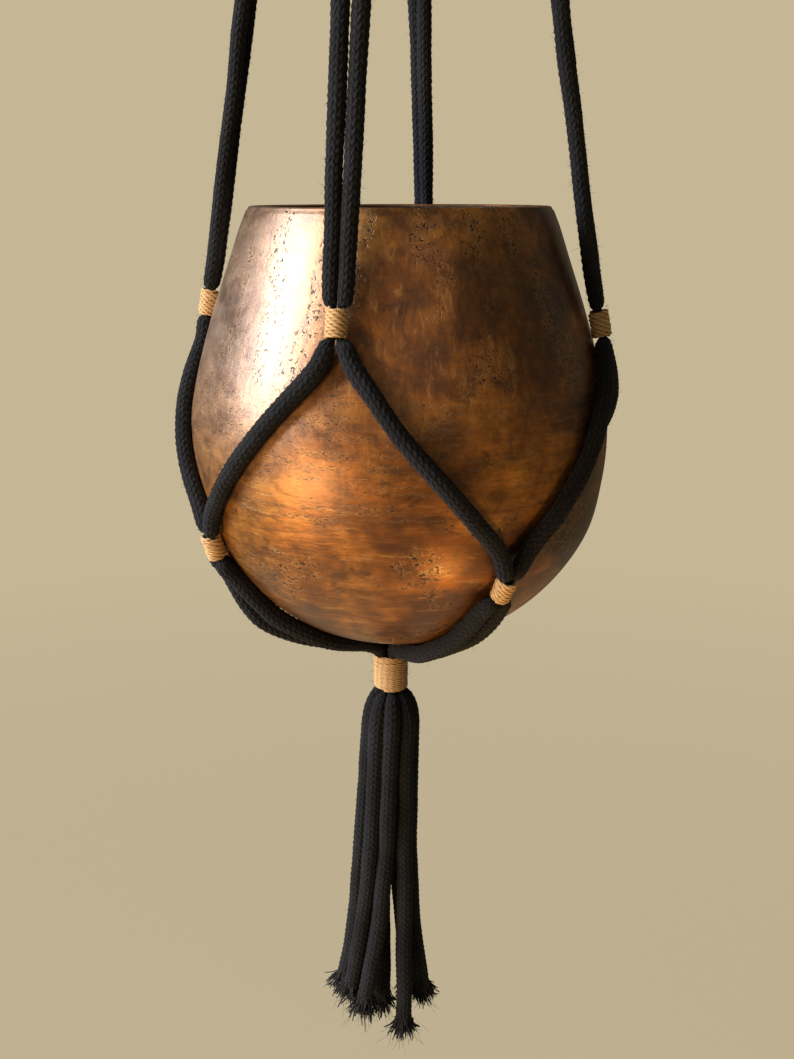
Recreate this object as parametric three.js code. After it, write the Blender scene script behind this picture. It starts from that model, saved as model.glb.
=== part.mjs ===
// A hanging macrame planter: a gourd-shaped pot carried in a net of four folded
// cotton cords, bound with twine and hung from a wooden ring.
//
// Units are millimetres, +Z is up, and the origin is the point on the inside of
// the ring's top where a hook bears. Azimuths are in degrees about Z: 0 faces
// the front (-Y) and 90 faces the right (+X). Heights named "above the rim" are
// measured from the pot's rim, so most of them are negative.

import * as THREE from "three";

// ---- Driving dimensions -----------------------------------------------------

const CORD_RADIUS = 3.1;
const CORD_SIDES = 8;

const RING_BAR_RADIUS = 8.5;
const RING_RADIUS = 42;
const FOLD_CLEARANCE = 1.2;
const FOLD_PITCH = 7;

const RIM_Z = -465;
const POT_WALL = 2.6;
const POT_SEGMENTS = 48;
const POT_FLOOR = { radius: 24, height: -152.6 };
// The pot's outside, from the rim down to the centre of its base: [radius, height above the rim].
const POT_PROFILE = [
  [53.2, 0], [56.2, -7], [59.4, -16], [66.2, -35], [72.3, -55], [75.6, -70],
  [76.4, -82], [75.4, -95.5], [71.9, -112.5], [63, -128.5], [49.9, -142.6],
  [35.8, -152], [18, -157], [0, -158],
];

// A cord squeezed by a whipping is thinner than it is in the open.
const PAIR_GRIP = { offset: 1.5, radius: 1.35 };
const WHIPPING = { bore: 3.05, outer: 3.6, height: 10 };
const GATHER = { bore: 7.4, outer: 8.6, height: 22, z: -122, cordRing: 5.3, cordRadius: 1.85 };
const TASSEL_WRAP = { bore: 6.05, outer: 6.9, height: 15.8, above: -178.1, cordRing: 4.3, cordRadius: 1.45 };
const TASSEL_X = -3.5;

// The four pairs of cords: where each pair's upper whipping lies against the pot.
// twist turns the pair about its own line, so that one cord lies partly behind the other.
const PAIRS = [
  { name: "front", azimuth: -15.8, radius: 70.6, above: -33.2, twist: 0 },
  { name: "right", azimuth: 75, radius: 71.8, above: -39, twist: 0 },
  { name: "back", azimuth: 171, radius: 71, above: -36, twist: 50 },
  { name: "left", azimuth: 262, radius: 71.3, above: -34.3, twist: 0 },
];
const UPPER_TILT = 12;

// The four lower whippings, each between the pair before it and the pair after it.
// lean turns one against the pot's side, its lower end towards the lower azimuth.
const LOWER = [
  { name: "front_right", azimuth: 27.6, radius: 73.4, above: -119.3, tilt: -29, lean: 2 },
  { name: "back_right", azimuth: 123, radius: 74.4, above: -117, tilt: -24, lean: 0 },
  { name: "back_left", azimuth: 212, radius: 75.4, above: -114.5, tilt: -22, lean: 0 },
  { name: "front_left", azimuth: 300, radius: 75.3, above: -113.6, tilt: -18, lean: 8 },
];
// The two cords of each: how much further in azimuth they come down to it, and how far in
// azimuth they bow at each step of the way under the pot.
const LOWER_CORDS = [
  { meeting: 1.4, bows: [-1, -3.5, -7.5, -11] },
  { meeting: 0, bows: [0, 0, 0, 0] },
  { meeting: 0, bows: [0, 0, 0, 0] },
  { meeting: -0.5, bows: [-2, -1, 3, 7] },
];

// How the net lies between an upper and a lower whipping.
const NET_SHARES = [0.1, 0.26, 0.42, 0.58, 0.74, 0.9];
const NET_STANDOFF = 3.9;

// The way down under the pot from there, its cords against the pot: [radius, height above the rim].
const BELLY = [[61, -136.3], [54, -144.2], [43.8, -151.6], [33.7, -156.9]];
const BELLY_OFFSET = 3.3;
// One leg hangs a little off the pot there, by as much: [out, down].
const SAGGING_LEG = 7;
const SAG = [[1.6, 1.2], [3.4, 2.9], [1.8, 1.7], [0.6, 0.8]];
// The last stretch, into the tassel's whipping:
// [radius, height above the rim, share of the last bow, half the gap between a pair's centres, cord radius].
const GATHERING_IN = [
  [22, -160.4, 1, 3.3, 3.1],
  [15, -162.4, 0.7, 3.3, 3.05],
  [10.4, -164.6, 0.3, 3.1, 2.65],
  [7.4, -166.6, 0, 2.55, 2.05],
  [5.5, -168.2, 0, 1.85, 1.55],
];

// The eight tassel strands, in order of azimuth from the front left. Each has its place
// half way down and at its end as [x, y] from the tassel's axis, and the height of its end.
const STRANDS = [
  { middle: [-10.2, -6], end: [-18.5, -6.5], endAbove: -334 },
  { middle: [-3.6, -7.9], end: [-12.6, -11.8], endAbove: -338 },
  { middle: [5.4, -6.5], end: [5, -9.5], endAbove: -351 },
  { middle: [8.2, 0.3], end: [14.8, 0.5], endAbove: -341 },
  { middle: [3.6, 5.7], end: [8.5, 6.5], endAbove: -343 },
  { middle: [-3.6, 6.2], end: [-4, 3], endAbove: -349 },
  { middle: [-10.6, 6.4], end: [-12.5, 9], endAbove: -336 },
  { middle: [-14.2, 0.2], end: [-21, 0.3], endAbove: -335 },
];
const STRAND_TOP_ABOVE = -186.5;
const STRAND_OPEN_ABOVE = -200;
const STRAND_MIDDLE_ABOVE = -280;
const STRAND_OPEN_RING = 8.5;
const CORD_GRIPPED_ABOVE = -169.8;
const CORD_END_ABOVE = -185.2;

// ---- Materials --------------------------------------------------------------

const finish = (color, roughness, metalness) =>
  new THREE.MeshStandardMaterial({ color, roughness, metalness });
const COTTON = finish(0x1d1e22, 0.9, 0);
const TWINE = finish(0xa9875a, 0.75, 0);
const BRONZE = finish(0x7a4228, 0.4, 0.75);
const WOOD = finish(0x9a6b41, 0.6, 0);

// ---- Geometry helpers -------------------------------------------------------

const radians = THREE.MathUtils.degToRad;
const lerp = THREE.MathUtils.lerp;

// The horizontal direction that faces an azimuth.
function outward(azimuth) {
  return new THREE.Vector3(Math.sin(radians(azimuth)), -Math.cos(radians(azimuth)), 0);
}

// The horizontal direction in which the azimuth grows.
function sideways(azimuth) {
  return new THREE.Vector3(Math.cos(radians(azimuth)), Math.sin(radians(azimuth)), 0);
}

function polar(azimuth, radius, z) {
  return outward(azimuth).multiplyScalar(radius).setZ(z);
}

// The pot's outer radius at a height above the rim, between its profile's points.
function potRadius(above) {
  const below = POT_PROFILE.findIndex(([, height]) => height <= above);
  const [r0, h0] = POT_PROFILE[Math.max(below - 1, 0)];
  const [r1, h1] = POT_PROFILE[Math.max(below, 1)];
  return lerp(r0, r1, (above - h0) / (h1 - h0));
}

// A tube closed at both ends through stations {at, radius}. Each ring takes its direction
// from its neighbours and carries the last ring's start along, so the facets don't twist.
function tube(stations) {
  const positions = [];
  const index = [];
  const start = new THREE.Vector3(0.3, 0.2, 1);
  const last = stations.length - 1;
  stations.forEach(({ at, radius }, i) => {
    const before = stations[Math.max(i - 1, 0)].at;
    const after = stations[Math.min(i + 1, last)].at;
    const ahead = after.clone().sub(before).normalize();
    start.addScaledVector(ahead, -start.dot(ahead)).normalize();
    const other = ahead.clone().cross(start);
    for (let k = 0; k < CORD_SIDES; k++) {
      const angle = (2 * Math.PI * k) / CORD_SIDES;
      const point = at.clone();
      point.addScaledVector(start, radius * Math.cos(angle));
      point.addScaledVector(other, radius * Math.sin(angle));
      positions.push(...point);
    }
  });
  for (let i = 0; i < last; i++)
    for (let k = 0; k < CORD_SIDES; k++) {
      const a = i * CORD_SIDES + k;
      const b = i * CORD_SIDES + ((k + 1) % CORD_SIDES);
      index.push(a, b, a + CORD_SIDES, b, b + CORD_SIDES, a + CORD_SIDES);
    }
  const end = last * CORD_SIDES;
  for (let k = 1; k < CORD_SIDES - 1; k++) {
    index.push(0, k + 1, k);
    index.push(end, end + k, end + k + 1);
  }
  const geometry = new THREE.BufferGeometry();
  geometry.setAttribute("position", new THREE.Float32BufferAttribute(positions, 3));
  geometry.setIndex(index);
  geometry.computeVertexNormals();
  return geometry;
}

function part(name, geometry, material) {
  const mesh = new THREE.Mesh(geometry, material);
  mesh.name = name;
  return mesh;
}

// ---- The ring and the pot ---------------------------------------------------

function woodenRing() {
  const ring = part("wooden_ring", new THREE.TorusGeometry(RING_RADIUS, RING_BAR_RADIUS, 12, 40), WOOD);
  ring.rotation.x = Math.PI / 2;
  ring.position.z = RING_BAR_RADIUS - RING_RADIUS;
  return ring;
}

// The wall is the outer profile moved in along its own normals, down to a flat inner floor.
function potShell() {
  const outside = POT_PROFILE.map(([radius, height]) => new THREE.Vector2(radius, height));
  const inside = [];
  for (let i = 1; i < outside.length - 1; i++) {
    const along = outside[i + 1].clone().sub(outside[i - 1]).normalize();
    const inner = new THREE.Vector2(along.y, -along.x).multiplyScalar(POT_WALL).add(outside[i]);
    if (inner.y > POT_FLOOR.height + POT_WALL) inside.push(inner);
  }
  const rimInside = new THREE.Vector2(outside[0].x - POT_WALL, 0);
  const floorEdge = new THREE.Vector2(POT_FLOOR.radius, POT_FLOOR.height);
  const floorCentre = new THREE.Vector2(0, POT_FLOOR.height);
  const profile = [...outside.reverse(), rimInside, ...inside, floorEdge, floorCentre];
  const geometry = new THREE.LatheGeometry(profile, POT_SEGMENTS);
  geometry.rotateX(Math.PI / 2);
  const pot = part("pot", geometry, BRONZE);
  pot.position.z = RIM_Z;
  return pot;
}

// ---- Twine whippings --------------------------------------------------------

// A tightly wound sleeve about its own Z axis, with its first and last turns drawn in.
function whipping(name, { bore, outer, height }, centre, down) {
  const half = height / 2;
  const drawnIn = 0.4;
  const shoulder = 0.7;
  const profile = [
    new THREE.Vector2(bore, -half),
    new THREE.Vector2(outer - drawnIn, -half),
    new THREE.Vector2(outer, shoulder - half),
    new THREE.Vector2(outer, half - shoulder),
    new THREE.Vector2(outer - drawnIn, half),
    new THREE.Vector2(bore, half),
    new THREE.Vector2(bore, -half),
  ];
  const geometry = new THREE.LatheGeometry(profile, 20);
  geometry.rotateX(Math.PI / 2);
  const sleeve = part(name, geometry, TWINE);
  sleeve.quaternion.setFromUnitVectors(new THREE.Vector3(0, 0, -1), down);
  sleeve.position.copy(centre);
  return sleeve;
}

// A whipping against the pot: its centre, the way its axis runs down, and the direction
// in which its two cords lie side by side.
function seat({ azimuth, radius, above, tilt, twist = 0, lean = 0 }) {
  const centre = polar(azimuth, radius, RIM_Z + above);
  const down = outward(azimuth).multiplyScalar(Math.sin(radians(tilt))).setZ(-Math.cos(radians(tilt)));
  const across = sideways(azimuth);
  const inward = across.clone().cross(down);
  down.applyAxisAngle(inward, radians(lean));
  across.applyAxisAngle(inward, radians(lean)).applyAxisAngle(down, radians(twist));
  return { centre, down, across };
}

const upperSeats = PAIRS.map((pair) => seat({ ...pair, tilt: UPPER_TILT }));
const lowerSeats = LOWER.map(seat);

// A station beside a whipping: `along` its axis from the centre, on one side of the pair.
function beside({ centre, down, across }, along, side, offset, radius) {
  const at = centre.clone().addScaledVector(down, along).addScaledVector(across, side * offset);
  return { at, radius };
}

// ---- Cords ------------------------------------------------------------------

// A leg is half of a folded cord: from the ring down to the tassel's whipping. Legs are
// numbered by azimuth from the front left; pair p has legs 2p and 2p + 1.
function leg(number, foldX, foldY) {
  const pair = Math.floor(number / 2);
  const side = number % 2 ? 1 : -1;
  const upper = upperSeats[pair];
  const lowerNumber = side > 0 ? pair : (pair + 3) % 4;
  const lower = lowerSeats[lowerNumber];
  const low = LOWER[lowerNumber];
  const { meeting, bows } = LOWER_CORDS[lowerNumber];
  const topAzimuth = 45 * number - 22.5;
  const gatherTop = GATHER.z + GATHER.height / 2;
  const gatherBottom = GATHER.z - GATHER.height / 2;
  const fromRing = new THREE.Vector3(foldX, foldY, gatherTop + 25);
  const nearGather = polar(topAzimuth, 10, gatherTop + 14);
  const stations = [
    { at: fromRing.lerp(nearGather, 0.3), radius: CORD_RADIUS },
    { at: nearGather, radius: CORD_RADIUS },
    { at: polar(topAzimuth, 7.4, gatherTop + 6.5), radius: 2.5 },
    { at: polar(topAzimuth, GATHER.cordRing, gatherTop + 0.4), radius: GATHER.cordRadius },
    { at: polar(topAzimuth, GATHER.cordRing, gatherBottom - 0.4), radius: GATHER.cordRadius },
    { at: polar(topAzimuth, 7.4, gatherBottom - 7), radius: 2.5 },
    { at: polar(topAzimuth, 9.3, gatherBottom - 15), radius: CORD_RADIUS },
  ];

  // Taut down to the upper whipping, drawn together just above it.
  stations.push(
    beside(upper, -17, side, 3.5, CORD_RADIUS),
    beside(upper, -10.5, side, 2.95, 2.8),
    beside(upper, -6.6, side, 2.1, 1.95),
    beside(upper, -5.2, side, PAIR_GRIP.offset, PAIR_GRIP.radius),
    beside(upper, 5.2, side, PAIR_GRIP.offset, PAIR_GRIP.radius),
    beside(upper, 6.6, side, 2.3, 2),
  );

  // Over the pot to the lower whipping, where it meets a cord of the next pair.
  const fromAzimuth = PAIRS[pair].azimuth;
  const toAzimuth = low.azimuth + meeting - (side < 0 && pair === 0 ? 360 : 0);
  for (const share of NET_SHARES) {
    const above = lerp(PAIRS[pair].above - 6, low.above + 6, share);
    const azimuth = lerp(fromAzimuth, toAzimuth, share);
    stations.push({ at: polar(azimuth, potRadius(above) + NET_STANDOFF, RIM_Z + above), radius: CORD_RADIUS });
  }
  stations.push(
    beside(lower, -6.6, -side, 2.3, 2),
    beside(lower, -5.2, -side, PAIR_GRIP.offset, PAIR_GRIP.radius),
    beside(lower, 5.2, -side, PAIR_GRIP.offset, PAIR_GRIP.radius),
    beside(lower, 6.6, -side, 2.2, 2.05),
    beside(lower, 10.5, -side, 3.1, 2.9),
  );

  // Under the pot and into the tassel's whipping.
  const across = sideways(low.azimuth).multiplyScalar(-side);
  const under = (radius, above, bow, offset, cordRadius) => {
    const towardsTassel = THREE.MathUtils.clamp((36 - radius) / 22, 0, 1);
    const at = polar(low.azimuth + bow, radius, RIM_Z + above).addScaledVector(across, offset);
    at.x += TASSEL_X * towardsTassel;
    stations.push({ at, radius: cordRadius });
  };
  const sags = number === SAGGING_LEG ? 1 : 0;
  BELLY.forEach(([radius, above], i) => {
    const [out, down] = SAG[i];
    under(radius + sags * out, above - sags * down, bows[i], BELLY_OFFSET, CORD_RADIUS);
  });
  for (const [radius, above, share, offset, cordRadius] of GATHERING_IN)
    under(radius, above, share * bows.at(-1), offset, cordRadius);
  for (const above of [CORD_GRIPPED_ABOVE, CORD_END_ABOVE]) {
    const at = polar(tasselAzimuth(number), TASSEL_WRAP.cordRing, RIM_Z + above);
    at.x += TASSEL_X;
    stations.push({ at, radius: TASSEL_WRAP.cordRadius });
  }
  return stations;
}

// Where a leg stands inside the tassel's whipping.
function tasselAzimuth(number) {
  const pair = Math.floor(number / 2);
  return number % 2 ? LOWER[pair].azimuth - 22.5 : LOWER[(pair + 3) % 4].azimuth + 22.5;
}

// One cord: up a leg, over the ring's lower bar and down the other leg.
function foldedCord(name, foldX, frontLeg, backLeg) {
  const foldRadius = RING_BAR_RADIUS + FOLD_CLEARANCE + CORD_RADIUS;
  const ringCentre = RING_BAR_RADIUS - RING_RADIUS;
  const foldZ = ringCentre - Math.sqrt(RING_RADIUS ** 2 - foldX ** 2);
  const fold = [];
  for (let degrees = 0; degrees <= 180; degrees += 30) {
    const y = -foldRadius * Math.cos(radians(degrees));
    const z = foldZ + foldRadius * Math.sin(radians(degrees));
    fold.push({ at: new THREE.Vector3(foldX, y, z), radius: CORD_RADIUS });
  }
  const up = leg(frontLeg, foldX, -foldRadius).reverse();
  const down = leg(backLeg, foldX, foldRadius);
  return part(name, tube([...up, ...fold, ...down]), COTTON);
}

// A strand hangs from inside the tassel's whipping and opens to its full thickness.
function tasselStrand(number) {
  const { middle, end, endAbove } = STRANDS[number];
  const azimuth = tasselAzimuth(number);
  const opened = polar(azimuth, STRAND_OPEN_RING, STRAND_OPEN_ABOVE);
  const half = new THREE.Vector3(...middle, STRAND_MIDDLE_ABOVE);
  const tip = new THREE.Vector3(...end, endAbove);
  const route = new THREE.CatmullRomCurve3([opened, half, tip]);
  const stations = [
    { at: polar(azimuth, TASSEL_WRAP.cordRing, STRAND_TOP_ABOVE), radius: TASSEL_WRAP.cordRadius },
    { at: polar(azimuth, 6.7, STRAND_TOP_ABOVE - 6), radius: 2.4 },
  ];
  for (const point of route.getPoints(8)) stations.push({ at: point, radius: CORD_RADIUS });
  for (const { at } of stations) at.add(new THREE.Vector3(TASSEL_X, 0, RIM_Z));
  return part(`tassel_strand_${number + 1}`, tube(stations), COTTON);
}

// ---- Assembly ---------------------------------------------------------------

const planter = new THREE.Group();
planter.add(woodenRing(), potShell());

planter.add(
  foldedCord("cord_left", -1.5 * FOLD_PITCH, 7, 6),
  foldedCord("cord_middle_left", -0.5 * FOLD_PITCH, 0, 5),
  foldedCord("cord_middle_right", 0.5 * FOLD_PITCH, 1, 4),
  foldedCord("cord_right", 1.5 * FOLD_PITCH, 2, 3),
);

const straightDown = new THREE.Vector3(0, 0, -1);
const tasselWrapCentre = new THREE.Vector3(TASSEL_X, 0, RIM_Z + TASSEL_WRAP.above);
planter.add(
  whipping("gathering_wrap", GATHER, new THREE.Vector3(0, 0, GATHER.z), straightDown),
  whipping("tassel_wrap", TASSEL_WRAP, tasselWrapCentre, straightDown),
);
PAIRS.forEach(({ name }, i) => {
  const { centre, down } = upperSeats[i];
  planter.add(whipping(`upper_wrap_${name}`, WHIPPING, centre, down));
});
LOWER.forEach(({ name }, i) => {
  const { centre, down } = lowerSeats[i];
  planter.add(whipping(`lower_wrap_${name}`, WHIPPING, centre, down));
});

STRANDS.forEach((_, number) => planter.add(tasselStrand(number)));

export default planter;
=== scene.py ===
import math

import bpy
import numpy as np
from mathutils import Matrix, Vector


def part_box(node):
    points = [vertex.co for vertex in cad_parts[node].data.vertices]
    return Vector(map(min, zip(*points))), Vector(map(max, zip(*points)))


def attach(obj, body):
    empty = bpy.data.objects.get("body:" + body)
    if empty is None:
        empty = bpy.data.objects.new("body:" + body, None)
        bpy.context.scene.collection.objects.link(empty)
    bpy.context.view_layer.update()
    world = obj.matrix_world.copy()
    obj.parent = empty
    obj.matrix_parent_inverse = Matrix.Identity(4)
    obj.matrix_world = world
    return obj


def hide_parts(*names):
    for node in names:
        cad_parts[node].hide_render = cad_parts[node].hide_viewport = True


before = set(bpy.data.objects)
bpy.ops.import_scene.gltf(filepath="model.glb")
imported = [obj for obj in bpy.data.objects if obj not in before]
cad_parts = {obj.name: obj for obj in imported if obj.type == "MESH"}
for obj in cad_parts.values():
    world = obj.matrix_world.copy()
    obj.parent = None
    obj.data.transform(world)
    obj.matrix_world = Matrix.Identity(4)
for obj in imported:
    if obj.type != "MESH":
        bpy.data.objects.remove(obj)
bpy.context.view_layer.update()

MM = 0.001

# ---- Sizes and places ----

# These first lengths are in metres.
RIM_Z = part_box("pot")[1].z
CORD_DIAMETER = 0.0062
CORD_RADIUS = CORD_DIAMETER / 2
RING_BAR_RADIUS = 0.0085
RING_RADIUS = 0.042
FOLD_CLEARANCE = 0.0012
FOLD_PITCH = 0.007
TASSEL_X = -0.0035
GATHER_Z = -0.122

# From here to the braid, lengths are in mm and angles in degrees.
UPPER_TILT = 12
# How far a cord's middle lies off the pot between two whippings, and the most it may lie off it
# just below a lower one, in mm.
NET_STANDOFF = 3.4
TOUCHING_STANDOFF = 4.1
# Where a whipping grips two cords: how far each lies off its axis, and its squeezed radius, in mm.
PAIR_GRIP = (1.5, 1.35)

# [radius, height above the rim] in mm, from the rim to the centre of the base.
POT_PROFILE = [
    (53.2, 0), (56.2, -7), (59.4, -16), (66.2, -35), (72.3, -55), (75.6, -70),
    (76.4, -82), (75.4, -95.5), (71.9, -112.5), (63, -128.5), (49.9, -142.6),
    (35.8, -152), (18, -157), (0, -158),
]
POT_WALL = 2.6
POT_FLOOR = (24, -152.6)

# Whippings: outer radius and height in mm, and how many turns of twine.
WHIPPING = dict(outer=3.6, height=10, turns=9.5)
GATHER = dict(outer=8.6, height=22, turns=19.5)
TASSEL_WRAP = dict(outer=6.9, height=15.8, turns=15.5)
TASSEL_WRAP_ABOVE = -178.1

# The upper whippings: name, azimuth, radius, height above the rim, twist of the pair, and how
# far its cords part above the whipping.
PAIRS = [
    ("front", -15.8, 70.6, -33.2, 0, 0.35),
    ("right", 75, 71.8, -39, 0, 0),
    ("back", 171, 71, -36, 56, -0.45),
    ("left", 262, 71.3, -34.3, 0, 0),
]
# The lower whippings: name, azimuth, radius, height above the rim, tilt, lean, and how much
# further in azimuth its cords come down to it.
LOWER = [
    ("front_right", 27.6, 73.4, -119.3, -29, 2, 1.4),
    ("back_right", 123, 74.4, -117, -24, 0, 0),
    ("back_left", 212, 75.4, -114.5, -22, 0, 0),
    ("front_left", 300, 75.3, -113.6, -18, 8, -0.5),
]
# How far in azimuth the cords of each bow off their way, at each step under the pot.
BOWS = [(-1, -3.5, -7.5, -11), (0, 0, 0, 0), (0, 0, 0, 0), (0, 1, 4, 7)]
NET_SHARES = [0.1, 0.26, 0.42, 0.58, 0.74, 0.9]
# The way down under the pot: radius and height above the rim.
BELLY = [(60.7, -136.0), (53.8, -144.0), (43.5, -151.4), (33.5, -156.7)]
# There a cord's middle lies this far to its side of the way.
BELLY_OFFSET = 3.3
BELLY_CORD_RADIUS = 3.5
# One leg hangs a little off the pot there, by as much out and down.
SAGGING_LEG = 7
SAG = [(2.1, 1.5), (2.9, 2.4), (2.1, 2.0), (0.9, 1.0)]
# The last stretch, into the tassel's whipping: radius, height above the rim, share of the last
# bow, half the gap between a pair's centres, and cord radius.
GATHERING_IN = [
    (22, -160.3, 1, 3.4, 3.4), (15, -162.5, 0.7, 3.3, 3.3), (10.4, -164.6, 0.3, 3.0, 3.1),
    (7.6, -166.6, 0, 2.6, 2.7), (6.1, -169.0, 0, 1.95, 2.3),
]
# Each tassel strand's place half way down and at its end from the tassel's axis, and its end's height.
STRANDS = [
    ((-10.2, -6), (-18.5, -6.5), -334),
    ((-3.6, -7.9), (-12.6, -11.8), -338),
    ((5.4, -6.5), (5, -9.5), -351),
    ((8.2, 0.3), (14.8, 0.5), -341),
    ((3.6, 5.7), (8.5, 6.5), -343),
    ((-3.6, 6.2), (-4, 3), -349),
    ((-10.6, 6.4), (-12.5, 9), -336),
    ((-14.2, 0.2), (-21, 0.3), -335),
]
STRAND_TOP_ABOVE = -186.5
STRAND_OPEN_ABOVE = -200
STRAND_MIDDLE_ABOVE = -280
STRAND_OPEN_RING = 8.5
# A strand isn't squeezed, so it is fuller than a taut cord.
SLACK_RADIUS = 3.6

# Through the gathering whipping: radius, height above the rim and cord radius, in mm.
GATHER_TOP = (GATHER_Z - RIM_Z) / MM + GATHER["height"] / 2
GATHER_BOTTOM = GATHER_TOP - GATHER["height"]
THROUGH_GATHER = [
    (7.4, GATHER_TOP + 6.5, 2.5),
    (5.3, GATHER_TOP + 0.4, 1.85),
    (5.3, GATHER_BOTTOM - 0.4, 1.85),
    (7.4, GATHER_BOTTOM - 7, 2.5),
    (9.3, GATHER_BOTTOM - 15, 3.1),
]
# Through an upper or a lower whipping: mm along its axis, mm off it, and cord radius.
ABOVE_UPPER = (-17, 2.6, 2.75)
THROUGH_UPPER = [
    (-10.5, 2.5, 2.65), (-7, 2.3, 2.45), (-6, 1.95, 2.1), (-5, *PAIR_GRIP),
    (5, *PAIR_GRIP), (5.9, 2.0, 2.15), (7.2, 2.7, 2.8),
]
THROUGH_LOWER = [
    (-7.4, 2.7, 2.9), (-6, 2.1, 2.3), (-5, *PAIR_GRIP),
    (5, *PAIR_GRIP), (5.9, 2.0, 2.2), (7.4, 2.7, 3.0),
]
BELOW_LOWER = (11.5, 3.3, 3.4)
# The net starts and ends this far past its whippings' middles, in mm.
NET_MARGIN = 6
# Inside the tassel's whipping the eight cords stand in a ring: height above the rim, cord radius.
TASSEL_RING = 4.3
IN_TASSEL_WRAP = [(-170.6, 1.7), (-172, 1.5), (-185.2, 1.5)]
# The top of a strand, just under it: ring radius, height above the strand's top, cord radius.
STRAND_NECK = [(TASSEL_RING, -0.2, 1.4), (4.5, -1.1, 1.8), (5.5, -3.2, 2.8), (7.3, -7.5, 3.4)]
# Azimuth between neighbouring cords in a whipping of eight.
EIGHTH = 45

# The braid, its fibres and how a cord varies: lengths in metres again.
BRAID_YARNS = 12
BRAID_REPEAT = 0.0026
BRAID_DEPTH = 0.00045
# How sharply a yarn falls off to its sides, and the share of its height left where it dips under.
YARN_ROUNDNESS = 1.9
YARN_DIP = 0.3
BRAID_ROUGHNESS = 0.12
CORD_STEP = 0.00055
CORD_SIDES = 40
# How far and over what length a cord wanders off its route, and how its thickness varies.
WANDER = 0.00022
WANDER_LENGTH = 0.022
THICKNESS_VARIES = 0.018
THICKNESS_LENGTH = 0.009
# Loose fibres on a metre of cord, and the shortest and longest of them.
FIBRES_PER_METRE = 2600
FIBRE_SHORTEST = 0.0008
FIBRE_LONGEST = 0.0022
# A random wave starts anywhere up to this, just short of a full turn.
ANY_PHASE = 6.28


# ---- Camera ----

CAMERA_DISTANCE = 0.394
CAMERA_ABOVE_RIM = 0.0046
CAMERA_X = -0.001
CAMERA_PITCH = 17.5
SENSOR = 36
LENS = 36.408


def make_camera():
    """The photograph's own view: close, level with the rim and looking down at the tassel."""
    data = bpy.data.cameras.new("camera")
    camera = bpy.data.objects.new("camera", data)
    bpy.context.scene.collection.objects.link(camera)
    data.sensor_fit = "AUTO"
    data.sensor_width = SENSOR
    data.lens = LENS
    data.clip_start = 0.01
    camera.location = (CAMERA_X, -CAMERA_DISTANCE, RIM_Z + CAMERA_ABOVE_RIM)
    camera.rotation_euler = (math.radians(90 - CAMERA_PITCH), 0, 0)
    bpy.context.scene.camera = camera


make_camera()


# ---- Vectors and curves ----

def outward(azimuth):
    """The level direction that faces an azimuth: 0 is the front and 90 the right."""
    a = math.radians(azimuth)
    return np.array([math.sin(a), -math.cos(a), 0.0])


def sideways(azimuth):
    """The level direction in which the azimuth grows."""
    a = math.radians(azimuth)
    return np.array([math.cos(a), math.sin(a), 0.0])


def polar(azimuth, radius, above):
    """A point from its azimuth, and its radius and height above the rim in mm."""
    point = outward(azimuth) * radius * MM
    point[2] = RIM_Z + above * MM
    return point


def unit(v):
    return v / np.linalg.norm(v, axis=-1, keepdims=True)


def turned(v, axis, degrees):
    """A vector turned about a unit axis."""
    a = math.radians(degrees)
    return v * math.cos(a) + np.cross(axis, v) * math.sin(a) + axis * axis.dot(v) * (1 - math.cos(a))


def circle_across(across, other, angles):
    """Unit vectors round a line: one row for each of its points, one column for each angle."""
    return np.cos(angles)[None, :, None] * across[:, None] + np.sin(angles)[None, :, None] * other[:, None]


def pot_radius(above):
    """The pot's outer radius in mm at a height above the rim."""
    radii, heights = np.array(POT_PROFILE, float).T
    return float(np.interp(-above, -heights, radii))


def smooth_curve(points, per_span):
    """A centripetal Catmull-Rom curve through every point; extra columns, such as a radius, go along."""
    points = np.asarray(points, float)
    ends = np.vstack([2 * points[0] - points[1], points, 2 * points[-1] - points[-2]])
    gaps = np.sqrt(np.linalg.norm(np.diff(ends[:, :3], axis=0), axis=1))
    out = []
    for i in range(len(points) - 1):
        p0, p1, p2, p3 = ends[i:i + 4]
        d0, d1, d2 = gaps[i:i + 3]
        m1 = ((p1 - p0) / d0 - (p2 - p0) / (d0 + d1) + (p2 - p1) / d1) * d1
        m2 = ((p2 - p1) / d1 - (p3 - p1) / (d1 + d2) + (p3 - p2) / d2) * d1
        t = np.linspace(0, 1, per_span, endpoint=False)[:, None]
        bend = 2 * t**3 - 3 * t**2
        out.append((bend + 1) * p1 + (t**3 - 2 * t**2 + t) * m1 - bend * p2 + (t**3 - t**2) * m2)
    return np.vstack(out + [points[-1:]])


def straightened(stations, longest=0.03):
    """The same stations with more put in along each long gap, so that a curve stays straight there."""
    out = [stations[0]]
    for before, after in zip(stations, stations[1:]):
        parts = int(math.dist(before[:3], after[:3]) / longest) + 1
        for k in range(1, parts + 1):
            out.append(list(np.array(before) * (1 - k / parts) + np.array(after) * (k / parts)))
    return out


def respaced(points, step):
    """The same line with points an equal step apart along it, and each one's distance from the start."""
    lengths = np.linalg.norm(np.diff(points[:, :3], axis=0), axis=1)
    along = np.concatenate([[0], np.cumsum(lengths)])
    count = max(int(round(along[-1] / step)), 4)
    at = np.linspace(0, along[-1], count + 1)
    return np.column_stack([np.interp(at, along, column) for column in points.T]), at


def frames(line):
    """Two directions across a line and one along it at each of its points, carried without twist."""
    ahead = unit(np.gradient(line, axis=0))
    first = np.cross(ahead[0], [0.3, 0.2, 1.0])
    across = np.empty_like(line)
    carried = unit(first)
    for i, direction in enumerate(ahead):
        carried = carried - direction * direction.dot(carried)
        carried = carried / math.sqrt(carried.dot(carried))
        across[i] = carried
    return across, np.cross(ahead, across), ahead


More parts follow.
